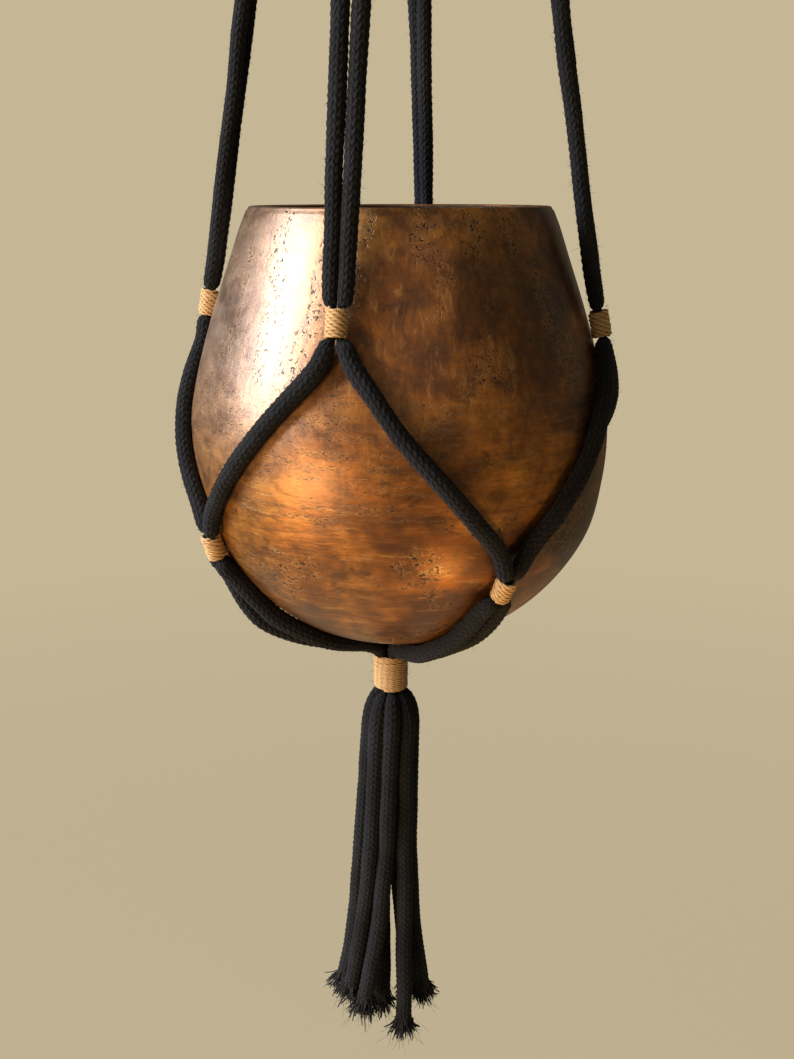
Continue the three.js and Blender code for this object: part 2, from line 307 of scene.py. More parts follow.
def wavy(at, rng, wavelength, amplitude):
    """A smooth random value along a line."""
    knots = max(int(at[-1] / wavelength) + 3, 4)
    values = rng.normal(0, amplitude, knots)
    where = np.linspace(at[0], at[-1], knots)
    t = np.interp(at, where, np.arange(knots))
    low = np.clip(t.astype(int), 0, knots - 2)
    share = t - low
    share = share * share * (3 - 2 * share)
    return values[low] * (1 - share) + values[low + 1] * share


# ---- Meshes ----

def new_mesh(name, vertices, faces, material, attributes=None):
    """A smooth-shaded piece from arrays, with any vectors that its material reads at each vertex."""
    mesh = bpy.data.meshes.new(name)
    vertices = np.asarray(vertices, np.float32)
    faces = np.asarray(faces, np.int32)
    corners = faces.shape[1]
    mesh.vertices.add(len(vertices))
    mesh.vertices.foreach_set("co", vertices.ravel())
    mesh.loops.add(faces.size)
    mesh.loops.foreach_set("vertex_index", faces.ravel())
    mesh.polygons.add(len(faces))
    mesh.polygons.foreach_set("loop_start", np.arange(0, faces.size, corners, dtype=np.int32))
    mesh.polygons.foreach_set("use_smooth", np.full(len(faces), True))
    for key, values in (attributes or {}).items():
        layer = mesh.attributes.new(key, "FLOAT_VECTOR", "POINT")
        layer.data.foreach_set("vector", np.asarray(values, np.float32).ravel())
    mesh.update(calc_edges=True)
    mesh.validate()
    mesh.materials.append(material)
    piece = bpy.data.objects.new(name, mesh)
    bpy.context.scene.collection.objects.link(piece)
    return piece


def tube_faces(rings, sides):
    """Quads between neighbouring rings of an open tube."""
    i = np.arange(rings - 1)[:, None] * sides
    k = np.arange(sides)[None]
    a = i + k
    b = i + (k + 1) % sides
    return np.stack([a, b, b + sides, a + sides], -1).reshape(-1, 4)


def capped(vertices, rings, sides):
    """Vertices with a centre added at each end, and the faces of the closed tube as triangles."""
    quads = tube_faces(rings, sides)
    faces = np.vstack([quads[:, [0, 1, 2]], quads[:, [0, 2, 3]]])
    k = np.arange(sides)
    low, high = rings * sides, rings * sides + 1
    last = (rings - 1) * sides
    start_cap = np.stack([np.full(sides, low), (k + 1) % sides, k], -1)
    end_cap = np.stack([np.full(sides, high), last + k, last + (k + 1) % sides], -1)
    centres = np.vstack([vertices[:sides].mean(0), vertices[last:last + sides].mean(0)])
    return np.vstack([vertices, centres]), np.vstack([faces, start_cap, end_cap])


def thin_tubes(lines, radii, sides=3):
    """Many small closed tubes as one set of vertices and faces, each with a radius at each point."""
    all_vertices, all_faces, first = [], [], 0
    angles = 2 * math.pi * np.arange(sides) / sides
    for line, radius in zip(lines, radii):
        across, other, _ = frames(line)
        circle = circle_across(across, other, angles)
        vertices = (line[:, None] + circle * radius[:, None, None]).reshape(-1, 3)
        vertices, faces = capped(vertices, len(line), sides)
        all_vertices.append(vertices)
        all_faces.append(faces + first)
        first += len(vertices)
    return np.vstack(all_vertices), np.vstack(all_faces)


# ---- Materials ----

class Nodes:
    """A small helper that builds one material's node tree."""

    def __init__(self, name):
        self.material = bpy.data.materials.new(name)
        self.material.use_nodes = True
        self.tree = self.material.node_tree
        self.shader = self.tree.nodes["Principled BSDF"]

    def add(self, kind, inputs=None, **settings):
        node = self.tree.nodes.new(kind)
        for key, value in settings.items():
            setattr(node, key, value)
        for key, value in (inputs or {}).items():
            self.put(value, node.inputs[key])
        return node

    def put(self, value, socket):
        if isinstance(value, bpy.types.NodeSocket):
            self.tree.links.new(value, socket)
        else:
            socket.default_value = value

    def attribute(self, name):
        return self.add("ShaderNodeAttribute", attribute_name=name).outputs["Vector"]

    def split(self, vector):
        return self.add("ShaderNodeSeparateXYZ", {0: vector}).outputs

    def join(self, x, y, z):
        return self.add("ShaderNodeCombineXYZ", {0: x, 1: y, 2: z}).outputs[0]

    def math(self, operation, a, b=0.0, c=0.0):
        return self.add("ShaderNodeMath", {0: a, 1: b, 2: c}, operation=operation).outputs[0]

    def scaled(self, vector, scale):
        return self.add("ShaderNodeVectorMath", {0: vector, 1: scale}, operation="MULTIPLY").outputs[0]

    def noise(self, vector, scale, detail=3.0, roughness=0.5, distortion=0.0):
        inputs = {"Vector": vector, "Scale": scale, "Detail": detail}
        inputs.update({"Roughness": roughness, "Distortion": distortion})
        return self.add("ShaderNodeTexNoise", inputs).outputs["Fac"]

    def cell_distance(self, vector, scale):
        return self.add("ShaderNodeTexVoronoi", {"Vector": vector, "Scale": scale}).outputs["Distance"]

    def position(self):
        """The point's place in metres, on its piece at rest."""
        return self.add("ShaderNodeTexCoord").outputs["Object"]

    def shaken(self, vector, scale, reach):
        """A place moved about by fine noise, so that what is drawn from it has ragged edges."""
        noise = self.add("ShaderNodeTexNoise", {"Vector": vector, "Scale": scale}).outputs["Color"]
        moved = {0: vector, 1: self.scaled(noise, (reach, reach, reach))}
        return self.add("ShaderNodeVectorMath", moved, operation="ADD").outputs[0]

    def choose(self, share, a, b):
        node = self.add("ShaderNodeMix", {0: share, 2: a, 3: b}, data_type="FLOAT")
        return node.outputs[0]

    def ramp(self, value, stops):
        """A colour or a grey at each of a few positions, and straight lines between them."""
        node = self.add("ShaderNodeValToRGB", {0: value})
        elements = node.color_ramp.elements
        while len(elements) < len(stops):
            elements.new(0.5)
        for element, (position, colour) in zip(elements, stops):
            element.position = position
            grey = isinstance(colour, (int, float))
            element.color = (colour, colour, colour, 1) if grey else (*colour, 1)
        return node.outputs["Color"]

    def mix(self, share, a, b):
        node = self.add("ShaderNodeMix", data_type="RGBA")
        self.put(share, node.inputs[0])
        self.put((*a, 1) if isinstance(a, tuple) else a, node.inputs[6])
        self.put((*b, 1) if isinstance(b, tuple) else b, node.inputs[7])
        return node.outputs[2]

    def bump(self, height, distance, strength):
        inputs = {"Height": height, "Distance": distance, "Strength": strength}
        return self.add("ShaderNodeBump", inputs).outputs["Normal"]

    def finish(self, **inputs):
        for key, value in inputs.items():
            self.put(value, self.shader.inputs[key.replace("_", " ")])
        return self.material


def braid_nodes(n):
    """The braid of a cord's mesh again at each point: its height, and its place across and along a yarn."""
    place = n.split(n.attribute("place"))
    around = n.math("DIVIDE", n.math("ARCTAN2", place[1], place[0]), 2 * math.pi)
    along = n.math("DIVIDE", place[2], BRAID_REPEAT)
    left = n.math("MULTIPLY_ADD", around, BRAID_YARNS, along)
    right = n.math("MULTIPLY_ADD", around, -BRAID_YARNS, along)
    i, j = n.math("FLOOR", left), n.math("FLOOR", right)
    u, v = n.math("SUBTRACT", left, i), n.math("SUBTRACT", right, j)
    turn = n.math("FLOORED_MODULO", n.math("ADD", n.math("SUBTRACT", i, j), 0.5), 4.0)
    right_on_top = n.math("GREATER_THAN", turn, 2.0)
    middle = n.math("COMPARE", turn, 2.0, 1.0)
    across = n.choose(right_on_top, u, v)
    second_half = n.math("SUBTRACT", 1.0, middle)
    through = n.math("DIVIDE", n.math("ADD", n.choose(right_on_top, v, u), second_half), 2.0)
    off = n.math("MULTIPLY", n.math("SUBTRACT", across, 0.5), YARN_ROUNDNESS)
    level = n.math("MULTIPLY_ADD", n.math("MULTIPLY", off, off), -1.0, 1.0)
    crown = n.math("SQRT", n.math("MAXIMUM", level, 0.0))
    arch = n.math("SINE", n.math("MULTIPLY", through, math.pi))
    rise = n.math("MULTIPLY_ADD", arch, 1 - YARN_DIP, YARN_DIP)
    yarn = n.choose(right_on_top, i, j)
    run = n.math("MULTIPLY_ADD", right_on_top, 31.0, n.choose(right_on_top, right, left))
    return n.math("MULTIPLY", crown, rise), n.join(n.math("MULTIPLY_ADD", yarn, 3.7, across), run, yarn)


def cotton_material():
    """Black cotton: each yarn's own fibres, with painted shade: paler on the crowns of the braid and
    darkest between yarns.
    """
    n = Nodes("black_cotton")
    height, fibre = braid_nodes(n)
    hairs = n.noise(n.scaled(fibre, (6.0, 1.4, 1.0)), 1.0, 4.0, 0.65, 0.4)
    patches = n.noise(n.position(), 55.0, 3.0)
    wool = n.noise(n.position(), 1500.0, 4.0, 0.7, 0.8)
    # Painted shade: the braid's height pales the cotton on the crowns and darkens it between yarns, where
    # shade falls.
    crown = n.ramp(height, [
        (0.0, (0.0012, 0.0012, 0.0015)), (0.5, (0.0045, 0.0046, 0.0058)), (1.0, (0.011, 0.0115, 0.0145)),
    ])
    worn = n.mix(n.ramp(hairs, [(0.42, 0.0), (0.74, 0.7)]), crown, (0.040, 0.043, 0.054))
    lint = n.mix(n.ramp(wool, [(0.52, 0.0), (0.72, 0.6)]), worn, (0.050, 0.054, 0.068))
    colour = n.mix(n.ramp(patches, [(0.4, 0.0), (0.7, 0.6)]), lint, (0.0030, 0.0031, 0.0040))
    braid_and_wool = n.math("MULTIPLY_ADD", wool, 1.3, n.math("MULTIPLY", height, 0.7))
    relief = n.math("MULTIPLY_ADD", hairs, 0.4, braid_and_wool)
    normal = n.bump(relief, 0.0006, 0.75)
    return n.finish(
        Base_Color=colour, Roughness=0.85, Specular_IOR_Level=0.22, Normal=normal,
        Sheen_Weight=0.12, Sheen_Roughness=0.35, Sheen_Tint=(0.60, 0.66, 0.82, 1),
    )


def fluff_material():
    """The same cotton as loose fibres."""
    n = Nodes("cotton_fluff")
    place = n.position()
    shade = n.noise(place, 900.0, 2.0)
    colour = n.ramp(shade, [(0.3, (0.006, 0.006, 0.0075)), (0.7, (0.032, 0.034, 0.042))])
    return n.finish(Base_Color=colour, Roughness=0.8, Specular_IOR_Level=0.3)


def twine_material():
    """Tan twisted twine: two plies with fine fibres, with painted shade darkening it between the turns."""
    n = Nodes("tan_twine")
    relief = n.split(n.attribute("relief"))
    fibre = n.attribute("fibre")
    hairs = n.noise(n.scaled(fibre, (9.0, 1.2, 1.0)), 1.0, 4.0, 0.65)
    drift = n.noise(n.scaled(fibre, (0.2, 0.12, 1.0)), 1.0, 2.0)
    # Painted shade: dark in the grooves between the plies and pale on their crowns.
    ply = n.ramp(relief[0], [
        (0.0, (0.11, 0.045, 0.012)), (0.45, (0.46, 0.235, 0.075)), (1.0, (0.80, 0.52, 0.24)),
    ])
    fair = n.mix(n.ramp(hairs, [(0.38, 0.0), (0.72, 0.8)]), ply, (0.88, 0.64, 0.36))
    colour = n.mix(n.ramp(drift, [(0.45, 0.0), (0.8, 0.4)]), fair, (0.42, 0.20, 0.06))
    normal = n.bump(hairs, 0.0002, 0.7)
    return n.finish(
        Base_Color=colour, Roughness=0.62, Specular_IOR_Level=0.4, Normal=normal,
        Sheen_Weight=0.12, Sheen_Roughness=0.4,
    )


def shell_grain(n, place, lower):
    """Fine grain, upright on the shoulder and level lower down."""
    upright = n.noise(n.scaled(place, (1.0, 1.0, 0.30)), 330.0, 6.0, 0.70, 0.6)
    level = n.noise(n.scaled(place, (0.16, 0.16, 1.0)), 420.0, 6.0, 0.70, 0.6)
    return n.mix(lower, upright, level)


def shell_ground(n, grain, clouds, mottle):
    """Gold and brown clouds, mottled darker, with the grain over them."""
    gold = n.ramp(clouds, [
        (0.32, (0.15, 0.045, 0.010)), (0.48, (0.42, 0.150, 0.026)), (0.66, (0.80, 0.34, 0.060)),
    ])
    mottled = n.mix(n.ramp(mottle, [(0.36, 0.75), (0.56, 0.0)]), gold, (0.12, 0.048, 0.024))
    grained = n.mix(n.ramp(grain, [(0.36, 0.55), (0.52, 0.0)]), mottled, (0.10, 0.042, 0.022))
    return n.mix(n.ramp(grain, [(0.56, 0.0), (0.72, 0.5)]), grained, (0.86, 0.50, 0.22))


def painted_highlight_patch(n, colour, left, down, clouds, mottle):
    """Painted highlight: pale high up on the left, where the window's light falls."""
    towards_left = n.ramp(left, [(0.08, 0.0), (0.40, 1.0)])
    up_high = n.ramp(down, [(0.35, 1.0), (1.0, 0.0)])
    uneven = n.math("MULTIPLY_ADD", mottle, 0.7, n.math("MULTIPLY", clouds, 0.5))
    highlight_breakup = n.ramp(uneven, [(0.45, 0.25), (0.66, 0.85)])
    share = n.math("MULTIPLY", highlight_breakup, n.math("MULTIPLY", towards_left, up_high))
    return n.mix(share, colour, (0.46, 0.37, 0.31))


def stains_and_painted_shade(n, colour, place, right):
    """Small stains all over, and dark burns gathering on the right that are partly stains and partly
    painted shade on the side away from the window.
    """
    stains = n.noise(n.scaled(place, (0.8, 0.8, 1.5)), 42.0, 6.0, 0.72, 0.8)
    stained = n.mix(n.ramp(stains, [(0.58, 0.0), (0.70, 0.85)]), colour, (0.030, 0.014, 0.010))
    # Painted shade: the right side, away from the window, is darkened as if in shadow.
    painted_shade_side = n.ramp(right, [(0.45, 0.25), (0.85, 1.0)])
    burn_noise = n.noise(n.scaled(place, (1.0, 1.0, 1.5)), 24.0, 7.0, 0.66, 0.6)
    burns = n.ramp(burn_noise, [(0.38, 0.0), (0.58, 0.9)])
    return n.mix(n.math("MULTIPLY", painted_shade_side, burns), stained, (0.022, 0.010, 0.008))


def pits(n, place, lower):
    """Dark pits and their pale edges, both gathered in patches."""
    streaks = n.mix(lower, n.scaled(place, (1.0, 1.0, 0.22)), n.scaled(place, (0.45, 0.45, 1.0)))
    patches = n.ramp(n.noise(streaks, 75.0, 2.0, 0.5), [(0.50, 0.0), (0.58, 1.0)])
    ragged = n.shaken(place, 900.0, 0.0034)
    stretched = n.mix(lower, n.scaled(ragged, (1.0, 1.0, 0.6)), n.scaled(ragged, (0.5, 0.5, 1.0)))
    holes = n.cell_distance(stretched, 640.0)
    dark = n.math("MULTIPLY", n.ramp(holes, [(0.16, 1.0), (0.34, 0.0)]), patches)
    edges = n.math("MULTIPLY", n.ramp(holes, [(0.34, 0.0), (0.42, 0.35), (0.55, 0.0)]), patches)
    return dark, edges


def shell_material():
    """Gourd shell burnished to bronze: mottled, grained and flecked with pits, with a painted highlight
    pale high on the left and painted shade on the right.
    """
    n = Nodes("burnished_shell")
    place = n.position()
    x, _, z = n.split(place)
    down = n.math("MULTIPLY", n.math("SUBTRACT", z, RIM_Z), -10.0)
    lower = n.ramp(down, [(0.55, 0.0), (0.95, 1.0)])
    grain = shell_grain(n, place, lower)
    clouds = n.noise(place, 22.0, 5.0, 0.62, 0.4)
    mottle = n.noise(n.scaled(place, (1.0, 1.0, 1.6)), 70.0, 6.0, 0.70, 0.3)
    ground = shell_ground(n, grain, clouds, mottle)
    # Painted highlight: a pale patch high on the left, where the window's reflection falls.
    pale = painted_highlight_patch(n, ground, n.math("MULTIPLY", x, -6.5), down, clouds, mottle)
    # Real stains all over, and painted shade on the right side.
    stained_and_shaded = stains_and_painted_shade(n, pale, place, n.math("MULTIPLY_ADD", x, 6.5, 0.5))
    dark, edges = pits(n, place, lower)
    colour = n.mix(dark, n.mix(edges, stained_and_shaded, (0.72, 0.48, 0.24)), (0.012, 0.007, 0.007))
    roughness = n.math("ADD", n.ramp(mottle, [(0.25, 0.30), (0.8, 0.48)]), n.math("MULTIPLY", dark, 0.3))
    relief = n.math("SUBTRACT", n.math("MULTIPLY_ADD", grain, 0.5, n.math("MULTIPLY", mottle, 0.5)), dark)
    return n.finish(
        Base_Color=colour, Metallic=0.62, Roughness=roughness, Normal=n.bump(relief, 0.0006, 0.6),
        Coat_Weight=0.55, Coat_Roughness=0.33, Coat_IOR=1.5, Specular_IOR_Level=0.6,
    )


def inside_material():
    """The unpolished inside of the shell."""
    n = Nodes("raw_shell")
    place = n.position()
    fibres = n.noise(n.scaled(place, (1.0, 1.0, 0.3)), 240.0, 5.0, 0.7, 0.5)
    stains = n.noise(place, 30.0, 4.0)
    brown = n.ramp(fibres, [(0.3, (0.035, 0.018, 0.010)), (0.7, (0.13, 0.075, 0.042))])
    colour = n.mix(n.ramp(stains, [(0.4, 0.0), (0.7, 0.7)]), brown, (0.03, 0.016, 0.010))
    normal = n.bump(fibres, 0.0006, 0.8)
    return n.finish(Base_Color=colour, Roughness=0.85, Normal=normal)


def wood_material():
    """Oiled beech, its short flecks running round the ring."""
    n = Nodes("beech")
    place = n.position()
    grain = n.noise(n.scaled(place, (1.0, 0.10, 0.10)), 420.0, 5.0, 0.6, 0.8)
    flecks = n.cell_distance(n.scaled(place, (1.0, 0.25, 0.25)), 900.0)
    colour = n.ramp(grain, [
        (0.3, (0.27, 0.135, 0.058)), (0.55, (0.46, 0.27, 0.13)), (0.75, (0.56, 0.36, 0.19)),
    ])
    flecked = n.mix(n.ramp(flecks, [(0.12, 0.55), (0.3, 0.0)]), colour, (0.22, 0.10, 0.04))
    normal = n.bump(grain, 0.0004, 0.5)
    return n.finish(Base_Color=flecked, Roughness=0.48, Normal=normal)


COTTON = cotton_material()
FLUFF = fluff_material()
TWINE = twine_material()
SHELL = shell_material()
RAW_SHELL = inside_material()
BEECH = wood_material()


# ---- Cord routes ----

def seat(azimuth, radius, above, tilt, twist=0, lean=0):
    """A whipping's centre, the way its axis runs down, and where its two cords lie side by side."""
    centre = polar(azimuth, radius, above)
    a = math.radians(tilt)
    down = outward(azimuth) * math.sin(a) - np.array([0, 0, math.cos(a)])
    across = sideways(azimuth)
    inward = np.cross(across, down)
    down, across = turned(down, inward, lean), turned(across, inward, lean)
    return centre, down, turned(across, down, twist)


UPPER_SEATS = [
    seat(azimuth, radius, above, UPPER_TILT, twist=twist)
    for _, azimuth, radius, above, twist, _ in PAIRS
]
LOWER_SEATS = [
    seat(azimuth, radius, above, tilt, lean=lean)
    for _, azimuth, radius, above, tilt, lean, _ in LOWER
]


def beside(place, along, side, offset, radius):
    """A station of a cord beside a whipping's centre, in mm along its axis and off it."""
    centre, down, across = place
    return [*(centre + down * along * MM + across * side * offset * MM), radius * MM]


def against_pot(station):
    """The same station moved in, where it is further off, until its cord lies at the pot."""
    x, y, z, radius = station
    touching = pot_radius((z - RIM_Z) / MM) + TOUCHING_STANDOFF
    share = min(touching * MM / math.hypot(x, y), 1)
    return [x * share, y * share, z, radius]


def tassel_azimuth(number):
    """Where a leg or a strand stands in the ring of eight inside the tassel's whipping."""
    pair = number // 2
    if number % 2:
        return LOWER[pair][1] - EIGHTH / 2
    return LOWER[pair - 1][1] + EIGHTH / 2


def down_from_ring(number, fold_x, fold_y):
    """Stations of a leg from the ring through the gathering whipping."""
    azimuth = EIGHTH * (number - 0.5)
    near_gather = polar(azimuth, 10, GATHER_TOP + 14)
    from_ring = np.array([fold_x, fold_y, RIM_Z + (GATHER_TOP + 25) * MM])
    stations = [[*(from_ring * 0.7 + near_gather * 0.3), CORD_RADIUS], [*near_gather, CORD_RADIUS]]
    for radius, above, cord_radius in THROUGH_GATHER:
        stations.append([*polar(azimuth, radius, above), cord_radius * MM])
    return stations


def through_upper(start, upper, side, parting):
    """Stations taut down to an upper whipping, drawn together just above it, and through it."""
    along, offset, radius = ABOVE_UPPER
    whipped = beside(upper, along, side, offset, radius)
    parted = np.array(whipped) * 0.76 + np.array(start) * 0.24 + [*(upper[2] * side * parting * MM), 0]
    parted[3] = 2.95 * MM
    passing = [beside(upper, along, side, offset, radius) for along, offset, radius in THROUGH_UPPER]
    return [list(parted), whipped, *passing]


def over_the_pot(from_azimuth, from_above, to_azimuth, to_above):
    """Stations across the pot from below an upper whipping to above a lower one."""
    stations = []
    for share in NET_SHARES:
        above = (from_above - NET_MARGIN) * (1 - share) + (to_above + NET_MARGIN) * share
        azimuth = from_azimuth * (1 - share) + to_azimuth * share
        stations.append([*polar(azimuth, pot_radius(above) + NET_STANDOFF, above), CORD_RADIUS])
    return stations


def through_lower(lower, side):
    """Stations through a lower whipping and back against the pot below it."""
    stations = [beside(lower, along, side, offset, radius) for along, offset, radius in THROUGH_LOWER]
    along, offset, radius = BELOW_LOWER
    return stations + [against_pot(beside(lower, along, side, offset, radius))]


def way_under(bows, sags):
    """The steps under the pot: radius, height above the rim, bow, offset and cord radius."""
    steps = []
    for (radius, above), bow, (out, down) in zip(BELLY, bows, SAG):
        steps.append((radius + sags * out, above - sags * down, bow, BELLY_OFFSET, BELLY_CORD_RADIUS))
    for radius, above, share, offset, cord_radius in GATHERING_IN:
        steps.append((radius, above, share * bows[-1], offset, cord_radius))
    return steps


def under_the_pot(number, low_azimuth, bows, side):
    """Stations under the pot and into the tassel's whipping, moving over to the tassel's axis."""
    across = sideways(low_azimuth) * side
    stations = []
    for radius, above, bow, offset, cord_radius in way_under(bows, number == SAGGING_LEG):
        at = polar(low_azimuth + bow, radius, above) + across * offset * MM
        at[0] += TASSEL_X * min(max((36 - radius) / 22, 0), 1)
        stations.append([*at, cord_radius * MM])
    for above, cord_radius in IN_TASSEL_WRAP:
        at = polar(tassel_azimuth(number), TASSEL_RING, above)
        stations.append([at[0] + TASSEL_X, at[1], at[2], cord_radius * MM])
    return stations


def leg(number, fold_x, fold_y):
    """Stations [x, y, z, radius] of half a folded cord, from the ring down to the tassel's whipping."""
    pair = number // 2
    side = 1 if number % 2 else -1
    lower = pair if side > 0 else (pair + 3) % 4
    _, from_azimuth, _, from_above, _, parting = PAIRS[pair]
    _, low_azimuth, _, to_above, _, _, meeting = LOWER[lower]
    # The front pair's left cord goes round the short way, past azimuth 0.
    to_azimuth = low_azimuth + meeting - (360 if side < 0 and pair == 0 else 0)
    stations = down_from_ring(number, fold_x, fold_y)
    stations += through_upper(stations[-1], UPPER_SEATS[pair], side, parting)
    stations += over_the_pot(from_azimuth, from_above, to_azimuth, to_above)
    stations += through_lower(LOWER_SEATS[lower], -side)
    return stations + under_the_pot(number, low_azimuth, BOWS[lower], -side)


def folded_cord(fold_x, front_leg, back_leg):
    """Stations of one cord, up a leg, over the ring's lower bar and down the other leg."""
    fold_radius = RING_BAR_RADIUS + FOLD_CLEARANCE + CORD_RADIUS
    fold_z = RING_BAR_RADIUS - RING_RADIUS - math.sqrt(RING_RADIUS**2 - fold_x**2)
    fold = []
    for degrees in range(0, 181, 30):
        a = math.radians(degrees)
        fold.append([fold_x, -fold_radius * math.cos(a), fold_z + fold_radius * math.sin(a), CORD_RADIUS])
    return leg(front_leg, fold_x, -fold_radius)[::-1] + fold + leg(back_leg, fold_x, fold_radius)


def strand_stations(number):
    """Stations of a tassel strand, from just under the whipping to its loose end."""
    middle, end, end_above = STRANDS[number]
    azimuth = tassel_azimuth(number)
    axis = np.array([TASSEL_X, 0, RIM_Z])
    opened = polar(azimuth, STRAND_OPEN_RING, STRAND_OPEN_ABOVE) + [TASSEL_X, 0, 0]
    half = axis + np.array([*middle, STRAND_MIDDLE_ABOVE]) * MM
    tip = axis + np.array([*end, end_above]) * MM
    route = smooth_curve([opened, half, tip], 8)
    stations = []
    for ring, below, radius in STRAND_NECK:
        at = polar(azimuth, ring, STRAND_TOP_ABOVE + below)
        stations.append([at[0] + TASSEL_X, at[1], at[2], radius * MM])
    return stations + [[*point, SLACK_RADIUS * MM] for point in route]


# ---- Braided cord ----

# Each piece's random numbers start from its own seed.
CORD_SEED = 100
CORD_FLUFF_SEED = 200
STRAND_SEED = 300
FRAY_SEED = 400
STRAND_FLUFF_SEED = 500
GATHER_SEED = 600
TASSEL_WRAP_SEED = 601
UPPER_SEED = 610
LOWER_SEED = 620
POT_SEED = 700


def braid_height(around, along):
    """Height from 0 to 1 over a braid whose yarns each pass over two and under two."""
    left = BRAID_YARNS * around + along / BRAID_REPEAT
    right = -BRAID_YARNS * around + along / BRAID_REPEAT
    i, j = np.floor(left), np.floor(right)
    turn = (i - j) % 4
    left_on_top = turn < 2
    across = np.where(left_on_top, left - i, right - j)
    through = np.where(left_on_top, right - j, left - i)
    through = (through + np.where((turn == 0) | (turn == 3), 1, 0)) / 2
    crown = np.sqrt(np.clip(1 - (YARN_ROUNDNESS * (across - 0.5))**2, 0, 1))
    return crown * (YARN_DIP + (1 - YARN_DIP) * np.sin(math.pi * through))


def braided_cord(name, stations, seed):
    """A closed tube with the braid's own relief. Returns the piece and the line that it follows."""
    rng = np.random.default_rng(seed)
    line, at = respaced(smooth_curve(stations, 24), CORD_STEP)
    centre, radius = line[:, :3].copy(), line[:, 3]
    # Squeezed stretches stay on their line; open ones wander a little.
    freedom = np.clip((radius / CORD_RADIUS - 0.85) / 0.1, 0, 1)
    for axis in range(3):
        centre[:, axis] += wavy(at, rng, WANDER_LENGTH, WANDER) * freedom
    radius = radius * (1 + wavy(at, rng, THICKNESS_LENGTH, THICKNESS_VARIES))
    across, other, _ = frames(centre)
    around = np.arange(CORD_SIDES) / CORD_SIDES
    along = at + rng.uniform(0, BRAID_REPEAT)
    height = braid_height(around[None, :], along[:, None])
    height = height * (1 + BRAID_ROUGHNESS * rng.standard_normal(height.shape))
    size = radius[:, None] - BRAID_DEPTH * (1 - height)
    angles = 2 * math.pi * around
    circle = circle_across(across, other, angles)
    vertices = (centre[:, None] + circle * size[..., None]).reshape(-1, 3)
    vertices, faces = capped(vertices, len(centre), CORD_SIDES)
    place = np.zeros((len(vertices), 3))
    place[:height.size, 0] = np.tile(np.cos(angles), len(centre))
    place[:height.size, 1] = np.tile(np.sin(angles), len(centre))
    place[:height.size, 2] = np.repeat(along, CORD_SIDES)
    piece = new_mesh(name, vertices, faces, COTTON, {"place": place})
    return piece, centre


def fluff(name, line, seed):
    """Loose fibres that stand off a cord, most of them short."""
    rng = np.random.default_rng(seed)
    spaced_line, at = respaced(line, 0.002)
    across, other, ahead = frames(spaced_line)
    lines, radii = [], []
    for _ in range(int(at[-1] * FIBRES_PER_METRE)):
        i = rng.integers(1, len(spaced_line) - 1)
        a = rng.uniform(0, 2 * math.pi)
        out = math.cos(a) * across[i] + math.sin(a) * other[i]
        long = FIBRE_SHORTEST + (FIBRE_LONGEST - FIBRE_SHORTEST) * rng.power(0.35)
        lean = unit(out * rng.uniform(0.25, 1.0) + ahead[i] * rng.normal(0, 1.0) + rng.normal(0, 0.35, 3))
        curl = rng.normal(0, 0.45, 3)
        t = np.linspace(0, 1, 5)[:, None]
        base = spaced_line[i] + out * (CORD_RADIUS - 0.0003)
        lines.append(base + (lean * t + curl * t * t * 0.6) * long)
        radii.append(np.interp(t[:, 0], [0, 1], [0.00005, 0.00002]))
    vertices, faces = thin_tubes(lines, radii)
    return new_mesh(name, vertices, faces, FLUFF)


# Each folded cord's name, its place on the ring in fold pitches, and its two legs' numbers.
FOLDED_CORDS = [
    ("left", -1.5, 7, 6), ("middle_left", -0.5, 0, 5), ("middle_right", 0.5, 1, 4), ("right", 1.5, 2, 3),
]


def make_sling_cords():
    """The four folded cords, each with its loose fibres."""
    for number, (name, pitches, front_leg, back_leg) in enumerate(FOLDED_CORDS):
        fold_x = pitches * FOLD_PITCH
        stations = straightened(folded_cord(fold_x, front_leg, back_leg))
        piece, line = braided_cord(f"braided_cord_{name}", stations, CORD_SEED + number)
        fuzz = fluff(f"cord_fibres_{name}", line, CORD_FLUFF_SEED + number)
        for made in (piece, fuzz):
            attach(made, "sling")
        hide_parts(f"cord_{name}")


# ---- Tassel ----

FRAY_LENGTH = 0.0085
# What a frayed end is made of: kind, how many and how thick.
FRAY = [("yarn", 240, 0.00028), ("fibre", 120, 0.00006)]
# The points of a strand's squeezed top, where no fibre stands off.
COVERED_POINTS = 20
# The points that give the direction of its end.
END_POINTS = 12


def frayed_end(name, tip, ahead, seed):
    """The untwisted yarns of a strand's end, spreading and curling below it."""
    rng = np.random.default_rng(seed)
    across = unit(np.cross(ahead, [0.0, 1.0, 0.2]))
    other = np.cross(ahead, across)
    lines, radii = [], []
    for kind, count, thick in FRAY:
        for _ in range(count):
            a = rng.uniform(0, 2 * math.pi)
            r = SLACK_RADIUS * MM * 0.9 * math.sqrt(rng.uniform(0.02, 1))
            out = math.cos(a) * across + math.sin(a) * other
            start = tip + out * r - ahead * rng.uniform(0.001, 0.004)
            long = FRAY_LENGTH * (rng.uniform(0.55, 1.0) if kind == "yarn" else rng.uniform(0.5, 1.25))
            spread = out * rng.uniform(0.05, 0.62) * (r / CORD_RADIUS)
            sway = rng.normal(0, 0.10, 3)
            curl = rng.normal(0, 0.14 if kind == "yarn" else 0.3, 3)
            t = np.linspace(0, 1, 9)[:, None]
            phase = rng.uniform(0, ANY_PHASE)
            wave = (np.sin(t * rng.uniform(4, 9) + phase) - math.sin(phase)) * 0.03
            way = ahead * t + spread * t**1.4 + sway * t**2 + curl * t**3 + out * wave
            lines.append(start + way * long)
            taper = np.interp(t[:, 0], [0, 0.95, 1], [1.0, 0.95, 0.7])
            radii.append(thick * taper * rng.uniform(0.7, 1.2))
    vertices, faces = thin_tubes(lines, radii, sides=4)
    return new_mesh(name, vertices, faces, FLUFF)


